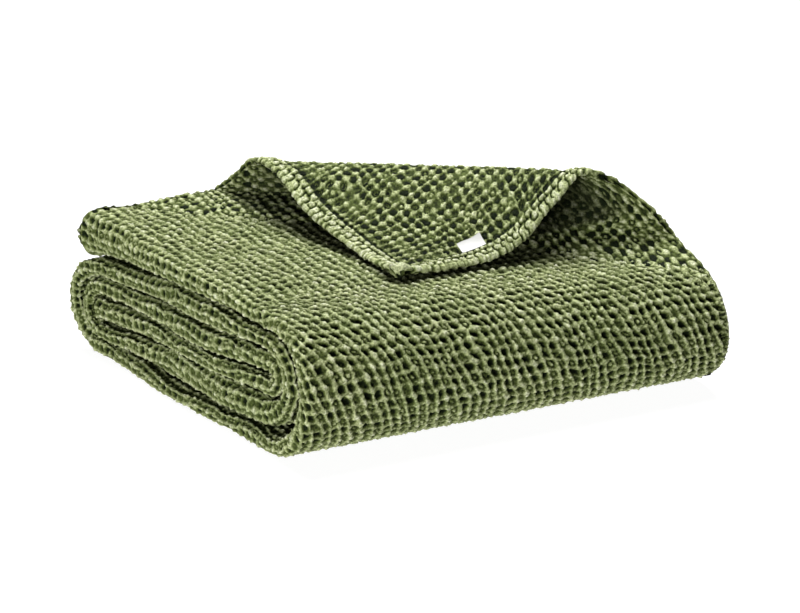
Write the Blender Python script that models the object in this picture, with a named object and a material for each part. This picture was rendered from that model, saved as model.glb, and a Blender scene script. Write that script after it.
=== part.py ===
"""A cotton waffle blanket as one solid of cloth: folded in four plies to a strip, the strip rolled
flat from its inner end, and the top ply's back corner turned over towards the front.

Units are metres and +Z is up. X runs along the rolled strip's width, and Y from the front turn to
the back. The cloth is laid out with x = 0 at its left fold and y = 0 near its front turn, and is
then centred, so that the origin is the middle of the underside.
"""
from collections import namedtuple
from math import pi

import bmesh
import bpy
import numpy as np

# ---- driving dimensions ----
STRIP_WIDTH = 0.458          # across the four-ply strip, fold to hem
PLY = 0.005                  # one thickness of waffle cloth
HEM_WIDTH = 0.016            # turned edge of the cloth
HEM_EXTRA = 0.0016           # what the turned edge adds to a ply's thickness
HEM_FULL = 0.4               # share of the hem's width where that addition begins to fade
TOP_END = 0.385              # y of the strip's outer end, at the back of the top layer
CORE_END = 0.356             # y of the strip's inner end
END_ROUND = 0.012            # length over which a strip end rounds off
END_BLUNT = 0.25             # share of its thickness that is left at the very end
END_SHARES = (0.12, 0.4, 0.8)  # extra path rows in a strip end, in shares of its rounding

# The layers from the outer end to the inner one. Level is the height of the layer's middle, and
# thick its thickness, and out how far its fold edge stands out to the left, each at the layer's
# front, middle and back.
Layer = namedtuple("Layer", "name level_front level_middle level_back thick_front thick_middle thick_back "
                            "out_front out_middle out_back")
LAYERS = (
    Layer("top", 0.1225, 0.1280, 0.1250, 0.0190, 0.0200, 0.0400, 0.0000, 0.0000, 0.0000),
    Layer("bottom", 0.0086, 0.0070, 0.0095, 0.0172, 0.0140, 0.0190, 0.0090, 0.0040, 0.0020),
    Layer("second", 0.1030, 0.1030, 0.0945, 0.0158, 0.0248, 0.0180, 0.0000, 0.0000, 0.0000),
    Layer("third", 0.0340, 0.0315, 0.0285, 0.0275, 0.0315, 0.0140, 0.0000, 0.0000, 0.0000),
    Layer("fourth", 0.0825, 0.0768, 0.0750, 0.0195, 0.0235, 0.0185, 0.0000, 0.0000, 0.0000),
    Layer("core", 0.0590, 0.0562, 0.0505, 0.0183, 0.0152, 0.0235, 0.0000, 0.0000, 0.0000),
)

# The turns that join each layer to the next. Start is the y where the turn leaves the layers,
# reach the y of its outermost middle, and thick the cloth there.
Turn = namedtuple("Turn", "name start reach thick")
TURNS = (
    Turn("outer_front", 0.025, -0.0400, 0.0210),
    Turn("outer_back", 0.345, 0.3980, 0.0200),
    Turn("second_front", 0.041, 0.0040, 0.0182),
    Turn("second_back", 0.345, 0.3725, 0.0135),
    Turn("core_front", 0.036, 0.0245, 0.0165),
)
TOP_DROOP = 0.008            # the top layer's underside hangs down by this at its back end
DROOP_START = 0.345          # y where that begins
LAYER_MIDDLE = 0.165         # y where a layer's middle level and thickness hold
LAYER_STEPS = 9              # path steps along a layer
TURN_STEPS = 8               # path steps around a turn

# How the left fold edges stand in and out along the strip, and how the heap sags.
EDGE_WANDER = 0.0030         # the fold edge stands in or out by up to this
EDGE_WAVE = 0.260            # length of that wave along the strip
WIDTH_STEPS = 9              # flat steps across the strip
EDGE_STEPS = 3               # steps around each rounded edge, to its middle
RIGHT_SAG = 0.100            # share of its height that the heap loses at its right front
SAG_START = 0.050            # x where that sag begins
SAG_FRONT = 0.020            # y where it is full, and the depth over which it fades backwards
SAG_DEPTH = 0.300
BACK_SAG = 0.110             # share of its height that the heap loses at its right back
BACK_SAG_START = 0.200       # y where that begins, and the depth over which it grows backwards
BACK_SAG_DEPTH = 0.185
LEFT_SKEW = 0.085            # how far the left end runs out to the left for each metre towards the back
RIGHT_EDGE_ROUND = 0.55      # roundness of the hemmed right edge against the left fold's 1
FOLD_SQUARE = 0.60           # 1 makes the left fold's section round, less makes it squarer

# The turned corner of the top ply. Reach is a distance in plan from the corner's tip towards the
# place where the flat corner lay, and rise the height of the ply's middle over the top layer.
FOLD_TURN = 0.830            # direction of that reach, in radians from +X
SIDE_INSET = 0.002           # the turned ply's side hem lies this far inside the strip's edge
END_INSET = 0.012            # and its end hem this far from the strip's end
TIP_SWAY = 0.015             # how far the tip swings back along the fold, and from which reach on
SWAY_FROM = 0.151
SWAY_POWER = 1.5             # how much more of it the tip takes than the middle
TIP_CUT = 0.008              # how much of the tip its folded hems blunt
BARE_RAMP = 0.050            # behind the turned corner, the top layer loses its ply over this reach
# The end and side columns are what is added to reach and rise at the end hem and at the side hem,
# and how far the side hem is drawn in along the fold.
FlapRow = namedtuple("FlapRow", "name reach rise end_reach end_rise side_reach side_rise side_pull")
FLAP = (
    FlapRow("root", 0.127, -0.0080, 0.0000, 0.0000, 0.0000, 0.0000, 0.0000),
    FlapRow("foot", 0.148, -0.0015, 0.0000, -0.0020, 0.0000, 0.0000, 0.0000),
    FlapRow("swell", 0.173, 0.0085, -0.0005, -0.0065, 0.0000, 0.0000, 0.0020),
    FlapRow("bulge", 0.197, 0.0310, -0.0015, -0.0180, 0.0000, 0.0010, 0.0140),
    FlapRow("shoulder", 0.194, 0.0490, -0.0015, -0.0155, 0.0000, 0.0035, 0.0290),
    FlapRow("ridge", 0.180, 0.0590, 0.0035, -0.0015, 0.0005, 0.0045, 0.0400),
    FlapRow("brow", 0.151, 0.0540, 0.0030, 0.0070, -0.0020, -0.0060, 0.0366),
    FlapRow("slope", 0.114, 0.0360, -0.0040, -0.0040, -0.0045, -0.0130, 0.0244),
    FlapRow("hollow", 0.079, 0.0185, -0.0010, -0.0045, -0.0010, -0.0045, 0.0125),
    FlapRow("touch", 0.042, 0.0080, 0.0030, -0.0035, 0.0005, -0.0015, 0.0054),
    FlapRow("tip", 0.000, 0.0046, 0.0000, 0.0034, 0.0000, 0.0034, 0.0000),
)
FLAP_STEPS = 30              # steps from the flap's root to its tip
FLAP_ACROSS = 24             # steps from the end hem to the side hem
RIDGE_LEAN = 0.33            # share of its height that the ridge gains from left to right

# The label: caught in the side hem's seam, its free edge a little off the turned ply.
LABEL_LENGTH = 0.033
LABEL_WIDTH = 0.010
LABEL_THICK = 0.0008
LABEL_FROM_TIP = 0.086       # along the side hem, from the corner to the label's near end
LABEL_GAP = 0.0006           # between the label and the cloth under it
LABEL_LIFT = 0.0035          # how far its free edge stands off
LABEL_STEPS = 4

CLOTH_COLOUR = (0.155, 0.215, 0.085, 1.0)
LABEL_COLOUR = (0.80, 0.80, 0.78, 1.0)


def ease(share):
    """A smooth step from 0 to 1, level at both ends."""
    share = np.clip(share, 0.0, 1.0)
    return share * share * (3.0 - 2.0 * share)


def between(share, first, last):
    return first + (last - first) * share


def layer_at(layer, y, front, back):
    """The layer's level, thickness and stand-out at y, eased between its front, middle and back."""
    if y < LAYER_MIDDLE:
        share = ease((y - front) / (LAYER_MIDDLE - front))
        return (between(share, layer.level_front, layer.level_middle),
                between(share, layer.thick_front, layer.thick_middle),
                between(share, layer.out_front, layer.out_middle))
    share = ease((y - LAYER_MIDDLE) / (back - LAYER_MIDDLE))
    return (between(share, layer.level_middle, layer.level_back),
            between(share, layer.thick_middle, layer.thick_back),
            between(share, layer.out_middle, layer.out_back))


def strip_path():
    """Rows of y, level, thickness and stand-out down the middle of the strip, from its outer end
    inwards."""
    starts = (TOP_END,) + tuple(turn.start for turn in TURNS) + (CORE_END,)
    rows = []
    for number, layer in enumerate(LAYERS):
        first, last = starts[number], starts[number + 1]
        front, back = min(first, last), max(first, last)
        for y in np.linspace(first, last, LAYER_STEPS + 1):
            level, thick, out = layer_at(layer, y, front, back)
            droop = TOP_DROOP * ease((y - DROOP_START) / (TOP_END - DROOP_START)) if number == 0 else 0.0
            rows.append((y, level - droop / 2.0, thick + droop, out))
        if number < len(TURNS):
            turn, after = TURNS[number], LAYERS[number + 1]
            at_front = turn.reach < turn.start
            level_in, thick_in, out_in = rows[-1][1:]
            level_out = after.level_front if at_front else after.level_back
            thick_out = after.thick_front if at_front else after.thick_back
            out_out = after.out_front if at_front else after.out_back
            for angle in np.linspace(0.0, pi, TURN_STEPS + 1)[1:-1]:
                bulge, turned = np.sin(angle), (1.0 - np.cos(angle)) / 2.0
                side = between(angle / pi, thick_in, thick_out)
                rows.append((turn.start + (turn.reach - turn.start) * bulge,
                             between(turned, level_in, level_out),
                             between(bulge * bulge, side, turn.thick),
                             between(turned, out_in, out_out)))
    return np.array(rows)


def path_frame(rows):
    """Lengths along the path, and the unit normals that point out of the roll."""
    ahead = np.gradient(rows[:, :2], axis=0)
    ahead /= np.linalg.norm(ahead, axis=1, keepdims=True)
    normal = np.stack([ahead[:, 1], -ahead[:, 0]], axis=1)
    steps = np.linalg.norm(np.diff(rows[:, :2], axis=0), axis=1)
    return np.concatenate([[0.0], np.cumsum(steps)]), normal


def settle(points):
    """Let the heap sag at its right front and right back, and its left end run askew. The
    underside stays flat, and nothing crosses."""
    x, y, z = points.T
    right = ease((x - SAG_START) / (STRIP_WIDTH - SAG_START))
    front = 1.0 - ease((y - SAG_FRONT) / SAG_DEPTH)
    back = ease((y - BACK_SAG_START) / BACK_SAG_DEPTH)
    drop = right * (RIGHT_SAG * front + BACK_SAG * back)
    skew = LEFT_SKEW * y * (1.0 - x / STRIP_WIDTH)
    return np.stack([x - skew, y, z * (1.0 - drop)], axis=1)


def strip_profile():
    """One section across the strip: x as a share of its width, an inset in half thicknesses, and
    the height over the middle in half thicknesses."""
    turn = np.linspace(0.0, pi, 2 * EDGE_STEPS + 1)
    left = [(0.0, 1.0 - np.sin(a) ** FOLD_SQUARE, np.cos(a)) for a in turn[::-1]]
    right = [(1.0, -RIGHT_EDGE_ROUND * (1.0 - np.sin(a)), np.cos(a)) for a in turn]
    shares = np.linspace(0.0, 1.0, WIDTH_STEPS + 1)[1:-1]
    top = [(share, 0.0, 1.0) for share in shares]
    under = [(share, 0.0, -1.0) for share in shares[::-1]]
    return np.array(left + top + right + under)


def loft(name, rings, material):
    """A closed solid through equal rings of points, with its ends capped."""
    bm = bmesh.new()
    grid = [[bm.verts.new(point) for point in ring] for ring in rings]
    count = len(grid[0])
    for ring, after in zip(grid, grid[1:]):
        for i in range(count):
            j = (i + 1) % count
            bm.faces.new((ring[i], ring[j], after[j], after[i]))
    bm.faces.new(grid[0][::-1])
    bm.faces.new(grid[-1])
    bmesh.ops.recalc_face_normals(bm, faces=bm.faces)
    mesh = bpy.data.meshes.new(name)
    bm.to_mesh(mesh)
    bm.free()
    mesh.shade_smooth()
    mesh.materials.append(material)
    return bpy.data.objects.new(name, mesh)


def end_thinning(length):
    """How a strip end rounds off: a share of the thickness at each length along the strip."""
    rest = np.minimum(length, length[-1] - length)
    inward = 1.0 - np.clip(rest / END_ROUND, 0.0, 1.0)
    return np.maximum(np.sqrt(1.0 - inward ** 2), END_BLUNT)


def rolled_strip(material):
    """The four-ply strip, rolled flat from its core to the layer on top."""
    rows = with_round_ends(strip_path())
    length, normal = path_frame(rows)
    half = rows[:, 2] / 2.0 * end_thinning(length)
    wander = EDGE_WANDER * np.sin(2.0 * pi * length / EDGE_WAVE)
    profile = strip_profile()
    top_rows = LAYER_STEPS + len(END_SHARES)
    rings = []
    for number, (y, level, _, out) in enumerate(rows):
        share, inset, height = profile.T
        left = wander[number] - out
        x = left + share * (STRIP_WIDTH - left) + inset * half[number]
        rise = height * half[number]
        ring = np.stack([x, y + normal[number, 0] * rise, level + normal[number, 1] * rise], axis=1)
        ring[:, 2] = np.maximum(ring[:, 2], 0.0)
        if number <= top_rows:
            ring[:, 2] -= turned_ply(ring[:, 0], ring[:, 1]) * np.clip(height, 0.0, 1.0)
        rings.append(settle(ring))
    return loft("blanket_cloth", rings, material)


def with_round_ends(rows):
    """Add path rows close to both ends, where the strip rounds off."""
    def extra(first, second):
        shares = END_ROUND / np.linalg.norm(second[:2] - first[:2]) * np.array(END_SHARES)
        return [first + (second - first) * share for share in shares]
    head, tail = extra(rows[0], rows[1]), extra(rows[-1], rows[-2])
    return np.array([rows[0], *head, *rows[1:-1], *tail[::-1], rows[-1]])


def smooth_rows(stations, values, at):
    """Values at any station, on a smooth curve through the rows (cubic, with eased slopes)."""
    slopes = np.gradient(values, stations, axis=0)
    index = np.clip(np.searchsorted(stations, at) - 1, 0, len(stations) - 2)
    span = (stations[index + 1] - stations[index])[:, None]
    t = ((at - stations[index]) / (stations[index + 1] - stations[index]))[:, None]
    return ((2 * t ** 3 - 3 * t ** 2 + 1) * values[index] + (t ** 3 - 2 * t ** 2 + t) * span * slopes[index]
            + (3 * t ** 2 - 2 * t ** 3) * values[index + 1] + (t ** 3 - t ** 2) * span * slopes[index + 1])


def top_height(x, y):
    """Height of the outer face over the top layer and the upper half of the front turn."""
    layer, turn, under = LAYERS[0], TURNS[0], LAYERS[1]
    flat = [layer_at(layer, value, turn.start, TOP_END) for value in np.clip(y, turn.start, TOP_END)]
    level, thick, _ = np.array(flat).T
    low = under.level_front - under.thick_front / 2.0
    crown = (level + thick / 2.0 - low) / 2.0
    deep = turn.start - turn.reach + turn.thick / 2.0
    past = np.clip((turn.start - y) / deep, 0.0, 1.0)
    z = low + crown * (1.0 + np.sqrt(1.0 - past ** 2))
    return settle(np.stack([x, y, z], axis=1))[:, 2]


def flap_stations():
    """The length of cloth from the root's reach to each row of the flap, and the rows' shapes."""
    shape = np.array([(row.reach, row.rise) for row in FLAP])
    steps = np.linalg.norm(np.diff(shape, axis=0), axis=1)
    return FLAP[0].reach + np.concatenate([[0.0], np.cumsum(steps)]), shape


def flap_corner():
    """Unit reach in plan, the place where the flat corner lay, and the tip's place."""
    reach = np.array([np.cos(FOLD_TURN), np.sin(FOLD_TURN)])
    corner = np.array([STRIP_WIDTH - SIDE_INSET, TOP_END - END_INSET])
    return reach, corner, corner - reach * flap_stations()[0][-1]


def flap_span(along):
    """How far the flap slides towards the end hem and the side hem from its middle line."""
    reach, corner, tip = flap_corner()
    to_side = (corner[0] - tip[0] - reach[0] * along) / reach[1]
    to_end = (tip[1] + reach[1] * along - corner[1]) / reach[0]
    return to_end, to_side


def flap_rows(along, share):
    """Reach and rise at a length of cloth and a share of the way from the end hem to the side hem."""
    at_end = np.array([(row.end_reach, row.end_rise) for row in FLAP])
    at_side = np.array([(row.side_reach, row.side_rise) for row in FLAP])
    stations, shape = flap_stations()
    return (smooth_rows(stations, shape, along) + (1.0 - share) ** 2 * smooth_rows(stations, at_end, along)
            + share ** 2 * smooth_rows(stations, at_side, along))


def flap_shape(along, slide):
    """Middle, outward normal and half thickness of the turned ply, at a length of cloth from the
    tip's line and a slide along the fold."""
    reach, _, tip = flap_corner()
    stations, shape = flap_stations()
    to_end, to_side = flap_span(along)
    hem = np.minimum(reach[1] * (to_side - slide), reach[0] * (slide - to_end))
    share = ((slide - to_end) / (to_side - to_end))[:, None]
    middle_row = smooth_rows(stations, shape, along)
    place = flap_rows(along, share)
    nudge = 0.0001
    slope = flap_rows(along + nudge, share) - flap_rows(along - nudge, share)
    slope /= np.linalg.norm(slope, axis=1, keepdims=True)
    pull = smooth_rows(stations, np.array([[row.side_pull] for row in FLAP]), along)[:, 0]
    sway = TIP_SWAY * (1.0 - np.clip(middle_row[:, 0] / SWAY_FROM, 0.0, 1.0)) ** SWAY_POWER
    slide = slide - pull * share[:, 0] ** 2 - sway
    x = tip[0] + reach[0] * place[:, 0] + reach[1] * slide
    y = tip[1] + reach[1] * place[:, 0] - reach[0] * slide
    lean = 1.0 + RIDGE_LEAN * slide / flap_span(stations[0])[1]
    rise = np.where(place[:, 1] > 0.0, place[:, 1] * lean, place[:, 1])
    half = (PLY + HEM_EXTRA * (1.0 - ease(hem / HEM_WIDTH - HEM_FULL))) / 2.0
    middle = np.stack([x, y, top_height(x, y) + rise], axis=1)
    outward = np.stack([slope[:, 1] * reach[0], slope[:, 1] * reach[1], -slope[:, 0]], axis=1)
    return middle, outward, half[:, None]


def turned_ply(x, y):
    """How much thinner the top layer is where its upper ply has been turned away."""
    reach, _, tip = flap_corner()
    behind = (x - tip[0]) * reach[0] + (y - tip[1]) * reach[1] - FLAP[1].reach
    return PLY * ease(behind / BARE_RAMP)


def turned_corner(material):
    """The top ply's corner: rooted in the top layer, risen to a soft ridge and laid forward."""
    first, last = FLAP[0].reach, flap_stations()[0][-1] - TIP_CUT
    rings = []
    for station in np.linspace(first, last, FLAP_STEPS + 1):
        along = np.full(FLAP_ACROSS + 1, station)
        to_end, to_side = flap_span(along)
        slide = between(np.linspace(0.0, 1.0, FLAP_ACROSS + 1), to_end, to_side)
        middle, outward, half = flap_shape(along, slide)
        rings.append(np.concatenate([middle + outward * half, (middle - outward * half)[::-1]]))
    return loft("turned_corner", rings, material)


def label(material):
    """A bare woven label, caught along one edge in the seam of the side hem."""
    reach, _, _ = flap_corner()
    corner_along = flap_stations()[0][-1]
    inward = HEM_WIDTH + LABEL_WIDTH * np.array([0.0, 0.5, 1.0])
    lift = LABEL_LIFT * np.array([0.0, 0.35, 1.0])
    rings = []
    for from_tip in np.linspace(LABEL_FROM_TIP, LABEL_FROM_TIP + LABEL_LENGTH, LABEL_STEPS + 1):
        along = corner_along - reach[1] * from_tip - reach[0] * inward
        slide = reach[0] * from_tip - reach[1] * inward
        middle, outward, half = flap_shape(along, slide)
        under = middle + outward * (half + LABEL_GAP + lift[:, None])
        rings.append(np.concatenate([under + outward * LABEL_THICK, under[::-1]]))
    return loft("label", rings, material)


def fuse(target, addition):
    """Join two closed solids into one."""
    union = target.modifiers.new("one_cloth", "BOOLEAN")
    union.operation = "UNION"
    union.solver = "EXACT"
    union.object = addition


def material(name, colour, roughness):
    made = bpy.data.materials.new(name)
    made.use_nodes = True
    shader = made.node_tree.nodes["Principled BSDF"]
    shader.inputs["Base Color"].default_value = colour
    shader.inputs["Roughness"].default_value = roughness
    shader.inputs["Metallic"].default_value = 0.0
    return made


def collection(name):
    made = bpy.data.collections.new(name)
    bpy.context.scene.collection.children.link(made)
    return made


def centre(objects):
    """Place the objects so that the origin is the middle of the underside."""
    points = np.array([vertex.co for thing in objects for vertex in thing.data.vertices])
    middle = (points.min(axis=0) + points.max(axis=0)) / 2.0
    for thing in objects:
        thing.location = (-middle[0], -middle[1], 0.0)


def main():
    for thing in list(bpy.data.objects):
        bpy.data.objects.remove(thing, do_unlink=True)
    parts, cutters = collection("folded_waffle_blanket"), collection("joined_shapes")
    cotton = material("waffle_cotton", CLOTH_COLOUR, 0.92)
    satin = material("label_satin", LABEL_COLOUR, 0.55)
    cloth, tag, corner = rolled_strip(cotton), label(satin), turned_corner(cotton)
    parts.objects.link(cloth)
    parts.objects.link(tag)
    cutters.objects.link(corner)
    corner.hide_render = True
    corner.display_type = "WIRE"
    fuse(cloth, corner)
    centre([cloth, tag, corner])


if __name__ == "__main__":
    main()
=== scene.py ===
"""A folded waffle weave cotton blanket, dressed: the true relief of the weave on the rolled strip and
on the turned corner, the hems, the stacked edges of the plies, and the bare label.

Units are metres. The cloth is laid out as in the CAD source, with x = 0 at the strip's left fold and
y = 0 near its front turn, and is then moved so that the origin is the middle of the underside.
"""
from collections import namedtuple
from math import pi

import bpy
import numpy as np
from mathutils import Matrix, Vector


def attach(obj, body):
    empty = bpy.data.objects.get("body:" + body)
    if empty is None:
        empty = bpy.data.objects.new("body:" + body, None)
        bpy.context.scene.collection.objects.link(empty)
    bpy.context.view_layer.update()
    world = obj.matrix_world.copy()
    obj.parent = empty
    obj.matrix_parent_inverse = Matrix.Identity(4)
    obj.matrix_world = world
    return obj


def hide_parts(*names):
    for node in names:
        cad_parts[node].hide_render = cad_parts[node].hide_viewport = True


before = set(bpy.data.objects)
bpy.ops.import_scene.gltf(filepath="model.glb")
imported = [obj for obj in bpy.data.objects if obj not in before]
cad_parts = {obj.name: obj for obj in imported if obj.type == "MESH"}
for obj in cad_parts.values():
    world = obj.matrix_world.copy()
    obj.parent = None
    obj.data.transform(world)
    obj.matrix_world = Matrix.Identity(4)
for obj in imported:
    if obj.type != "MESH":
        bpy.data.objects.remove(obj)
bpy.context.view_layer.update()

# ---- the CAD source's named sizes ----
CENTRE = np.array([0.21032475, 0.17874999, 0.0])  # the middle of the underside, in the layout
STRIP_WIDTH = 0.458
PLY = 0.005
HEM_WIDTH = 0.016
HEM_EXTRA = 0.0016
HEM_FULL = 0.4
TOP_END = 0.385
CORE_END = 0.356
Layer = namedtuple("Layer", "name level_front level_middle level_back thick_front thick_middle thick_back "
                            "out_front out_middle out_back")
LAYERS = (
    Layer("top", 0.1225, 0.1280, 0.1250, 0.0190, 0.0200, 0.0400, 0.0, 0.0, 0.0),
    Layer("bottom", 0.0086, 0.0070, 0.0095, 0.0172, 0.0140, 0.0190, 0.0090, 0.0040, 0.0020),
    Layer("second", 0.1030, 0.1030, 0.0945, 0.0158, 0.0248, 0.0180, 0.0, 0.0, 0.0),
    Layer("third", 0.0340, 0.0315, 0.0285, 0.0275, 0.0315, 0.0140, 0.0, 0.0, 0.0),
    Layer("fourth", 0.0825, 0.0768, 0.0750, 0.0195, 0.0235, 0.0185, 0.0, 0.0, 0.0),
    Layer("core", 0.0590, 0.0562, 0.0505, 0.0183, 0.0152, 0.0235, 0.0, 0.0, 0.0),
)
Turn = namedtuple("Turn", "name start reach thick")
TURNS = (
    Turn("outer_front", 0.025, -0.0400, 0.0210),
    Turn("outer_back", 0.345, 0.3980, 0.0200),
    Turn("second_front", 0.041, 0.0040, 0.0182),
    Turn("second_back", 0.345, 0.3725, 0.0135),
    Turn("core_front", 0.036, 0.0245, 0.0165),
)
TOP_DROOP = 0.008
DROOP_START = 0.345
LAYER_MIDDLE = 0.165
EDGE_WANDER = 0.0030
EDGE_WAVE = 0.260
RIGHT_SAG = 0.100
SAG_START = 0.050
SAG_FRONT = 0.020
SAG_DEPTH = 0.300
BACK_SAG = 0.110
BACK_SAG_START = 0.200
BACK_SAG_DEPTH = 0.185
LEFT_SKEW = 0.085
RIGHT_EDGE_ROUND = 0.55
FOLD_SQUARE = 0.50
FOLD_TURN = 0.830
SIDE_INSET = 0.002
END_INSET = 0.012
TIP_SWAY = 0.015
SWAY_FROM = 0.151
SWAY_POWER = 1.5
BARE_RAMP = 0.050
RIDGE_LEAN = 0.33
FlapRow = namedtuple("FlapRow", "name reach rise end_reach end_rise side_reach side_rise side_pull")
FLAP = (
    FlapRow("root", 0.127, -0.0080, 0.0, 0.0, 0.0, 0.0, 0.0),
    FlapRow("foot", 0.148, -0.0015, 0.0, 0.0010, 0.0080, 0.0, 0.0045),
    FlapRow("swell", 0.173, 0.0085, -0.0005, -0.0035, 0.0240, -0.0010, 0.0150),
    FlapRow("bulge", 0.197, 0.0310, -0.0015, -0.0180, 0.0, 0.0010, 0.0140),
    FlapRow("shoulder", 0.194, 0.0490, -0.0015, -0.0155, 0.0, 0.0035, 0.0290),
    FlapRow("ridge", 0.180, 0.0590, 0.0035, -0.0015, 0.0005, 0.0045, 0.0400),
    FlapRow("brow", 0.151, 0.0540, 0.0030, 0.0070, -0.0020, -0.0060, 0.0366),
    FlapRow("slope", 0.114, 0.0360, -0.0040, -0.0040, -0.0045, -0.0165, 0.0244),
    FlapRow("hollow", 0.079, 0.0185, -0.0010, -0.0045, -0.0010, -0.0110, 0.0125),
    FlapRow("touch", 0.042, 0.0080, 0.0030, -0.0035, 0.0005, -0.0028, 0.0054),
    FlapRow("tip", 0.000, 0.0046, 0.0, 0.0034, 0.0, 0.0034, 0.0),
)
LABEL_LENGTH = 0.033
LABEL_WIDTH = 0.010
LABEL_FROM_TIP = 0.086

# ---- the weave ----
CELL_ACROSS = 0.0104  # one repeat of the waffle across the strip
CELL_ALONG = 0.0111  # and along it
PIT_DEPTH = 0.0056  # from the ridge tops to the bottom of a pit, on the stack
FLAP_PIT_DEPTH = 0.0042  # and on the single turned ply
RIDGE_PROUD = 0.0006  # the ridge tops stand this far outside the CAD face
QUADS_ACROSS = 8  # mesh steps in one cell
QUADS_ALONG = 8
FACE_QUADS = 7  # both of these on the turned ply's face side
LIP_DEPTH = 0.009  # how deep the grooves between the stacked hems run in
SEEN_DEPTH = 0.036  # how far in from an end the inner faces carry the full weave
RIGHT_MARGIN = 0.014  # the part of the width that the right edge's rounding takes up


def ease(share):
    share = np.clip(share, 0.0, 1.0)
    return share * share * (3.0 - 2.0 * share)


def between(share, first, last):
    return first + (last - first) * share


def unit(vectors):
    return vectors / np.linalg.norm(vectors, axis=-1, keepdims=True)


# ---- quiet irregularities, the same on every run ----
RANDOM = np.random.RandomState(11)
WAVE_TABLE = RANDOM.rand(12, 6, 4)
PIT_TABLE = RANDOM.rand(6, 61, 67)
WAVE_LOW, WAVE_SPREAD = 0.6, 0.9  # each wave's length, as shares of the size asked for
WAVE_SUM = 2.6  # brings the sum of the waves to about -1..1


def waves(which, u, v, size):
    """A smooth wandering value in about -1..1, over two coordinates in metres."""
    total = 0.0
    for direction, phase, scale, _ in WAVE_TABLE[which]:
        turn = 2.0 * pi * direction
        k = 2.0 * pi / (size * (WAVE_LOW + WAVE_SPREAD * scale))
        total = total + np.sin(k * (u * np.cos(turn) + v * np.sin(turn)) + 2.0 * pi * phase)
    return total / WAVE_SUM


# Heights are shares of the pit depth, from 0 on the crests down to -1, and sizes are shares of a cell.
Weave = namedtuple("Weave", "rib rib_half bar bar_half knob knob_radius filled_share")
FACE = Weave(-0.16, 0.24, -0.25, 0.25, 0.04, 0.34, 0.36)  # ribs lead, the bars between them lie lower
BACK = Weave(-0.33, 0.20, -0.30, 0.20, 0.00, 0.34, 0.12)  # knobs lead
FOLD = Weave(-0.27, 0.20, -0.34, 0.20, 0.05, 0.36, 0.55)  # the face, drawn round the turned corner
SOFTEN = 15.0  # how sharply the ribs, bars, knobs and pits meet
SOFTEN_LIFT = 0.07  # what the soft meeting adds to the height
LOWEST = -1.3  # nothing is reckoned lower than this
WALL_START = 0.40  # where a pit's wall starts, in half widths of the rib beside it
WALL_WIDTH = 1.25  # and how wide it slopes
RIB_DROP, BAR_DROP = 1.05, 0.90  # from the crest of a rib or a bar down its walls
RIDGE_UNEVEN = 0.16  # how far one rib lies lower than another
RIDGE_LOW, RIDGE_SPREAD = 0.80, 0.40  # how much their widths differ
RIDGE_WANDER = 0.08  # how far they run off the lattice
KNOB_WANDER = 0.16  # how far a knob sits off its crossing
KNOB_LONG = 0.85  # a knob is longer along the strip
KNOB_LOW, KNOB_SPREAD = 0.84, 0.32  # how much the knobs' sizes differ
KNOB_UNEVEN = 0.18  # and their heights
KNOB_ROUND = 0.34  # how far a knob falls away to its edge
KNOB_DROP = 0.80  # and then down its skirt
KNOB_EDGE, KNOB_SKIRT = 0.78, 0.55  # where the skirt starts and how wide it is, in knob radii
FILL_TOP, FILL_UNEVEN = -0.10, 0.30  # the height of the yarn that fills some pits
FILL_STEEP, FILL_STEEP_SPREAD = 5.5, 3.0
UNFILLED = -2.0
PIT_UNEVEN = 0.50  # how much shallower the shallowest pit is


def ridge(height, half, drop, off, lower, wider):
    """A rib or a bar: level along its crest, with a wall down each side."""
    across = np.abs(off) / (half * (RIDGE_LOW + RIDGE_SPREAD * wider))
    return height - RIDGE_UNEVEN * lower - drop * ease((across - WALL_START) / WALL_WIDTH)


def chances(ia, ib):
    """What chance gave a crossing or a pit of the lattice."""
    rows, columns = ia.astype(int) % PIT_TABLE.shape[1], ib.astype(int) % PIT_TABLE.shape[2]
    return [table[rows, columns] for table in PIT_TABLE]


def relief(weave, a, b):
    """Height of the weave over its lattice: about 0 on the crests and -1 in the pits."""
    ia, ib = np.rint(a), np.rint(b)
    chance = chances(ia, ib)
    da, db = a - ia - KNOB_WANDER * (chance[0] - 0.5), b - ib - KNOB_WANDER * (chance[1] - 0.5)
    r = np.hypot(da, KNOB_LONG * db) / (weave.knob_radius * (KNOB_LOW + KNOB_SPREAD * chance[2]))
    skirt = ease((r - KNOB_EDGE) / KNOB_SKIRT)
    dome = weave.knob - KNOB_UNEVEN * chance[3] - KNOB_ROUND * r * r - KNOB_DROP * skirt
    da, db = a - ia - RIDGE_WANDER * (chance[0] - 0.5), b - ib - RIDGE_WANDER * (chance[1] - 0.5)
    rib = ridge(weave.rib, weave.rib_half, RIB_DROP, da, chance[5], chance[4])
    bar = ridge(weave.bar, weave.bar_half, BAR_DROP, db, chance[4], chance[5])
    fa, fb = np.floor(a), np.floor(b)
    chance = chances(fa, fb)
    d = np.hypot(a - fa - 0.5, b - fb - 0.5)
    steep = FILL_STEEP + FILL_STEEP_SPREAD * chance[3]
    fill = FILL_TOP - FILL_UNEVEN * chance[2] - steep * d * d
    filled = np.where(chance[5] < weave.filled_share, fill, UNFILLED)
    bottom = -1.0 + PIT_UNEVEN * chance[4] ** 2
    total = sum(np.exp(SOFTEN * np.maximum(h, LOWEST)) for h in (dome, rib, bar, filled, bottom))
    return np.log(total) / SOFTEN - SOFTEN_LIFT


WARP = 0.0022  # how far the cloth is drawn out of square
WARP_ACROSS, WARP_ALONG = 0.080, 0.090
SMALL_WARP = 0.0008  # and the same over a cell or two
SMALL_WARP_SIZE = 0.020
YARN_LUMP, YARN_LUMP_SIZE = 0.10, 0.0036  # the yarn's own unevenness, finer than a cell
CELL_LUMP, CELL_LUMP_SIZE = 0.05, 0.0090  # and what changes from cell to cell


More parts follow.
